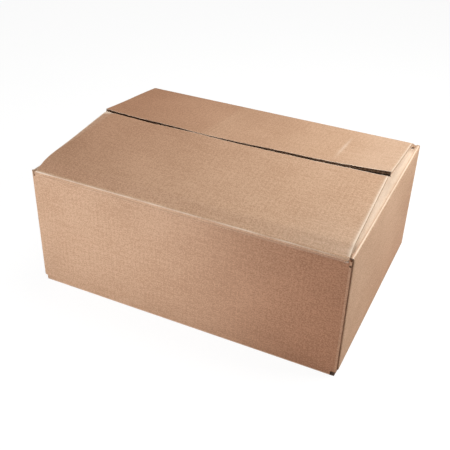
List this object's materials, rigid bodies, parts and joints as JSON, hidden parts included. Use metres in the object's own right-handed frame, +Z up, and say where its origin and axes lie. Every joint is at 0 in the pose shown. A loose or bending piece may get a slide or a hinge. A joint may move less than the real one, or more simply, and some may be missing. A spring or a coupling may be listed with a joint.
{
  "type": "corrugated box",
  "caption": "Slotted carton of brown double-wall corrugated board with a closed bottom and two hinged outer top flaps resting half shut over folded-in end flaps.",
  "frame": {"origin": "centre of the underside, on the floor", "axes": "+X along the long sides, -Y is the front with the glued joint at its right corner, +Z up"},
  "size_m": [0.46, 0.34, 0.2177],
  "materials": {
    "kraft_board": "uncoated brown kraft paper, matt"
  },
  "bodies": {
    "carton": {"carton_body": "kraft_board"},
    "front_flap": {"front_top_flap": "kraft_board"},
    "rear_flap": {"rear_top_flap": "kraft_board"}
  },
  "joints": [
    {"name": "front_flap_fold", "type": "hinge", "parent": "carton", "child": "front_flap", "pos_m": [0, -0.17, 0.185], "axis": [1, 0, 0], "range_deg": [0, 240]},
    {"name": "rear_flap_fold", "type": "hinge", "parent": "carton", "child": "rear_flap", "pos_m": [0, 0.17, 0.185], "axis": [-1, 0, 0], "range_deg": [0, 240]}
  ]
}
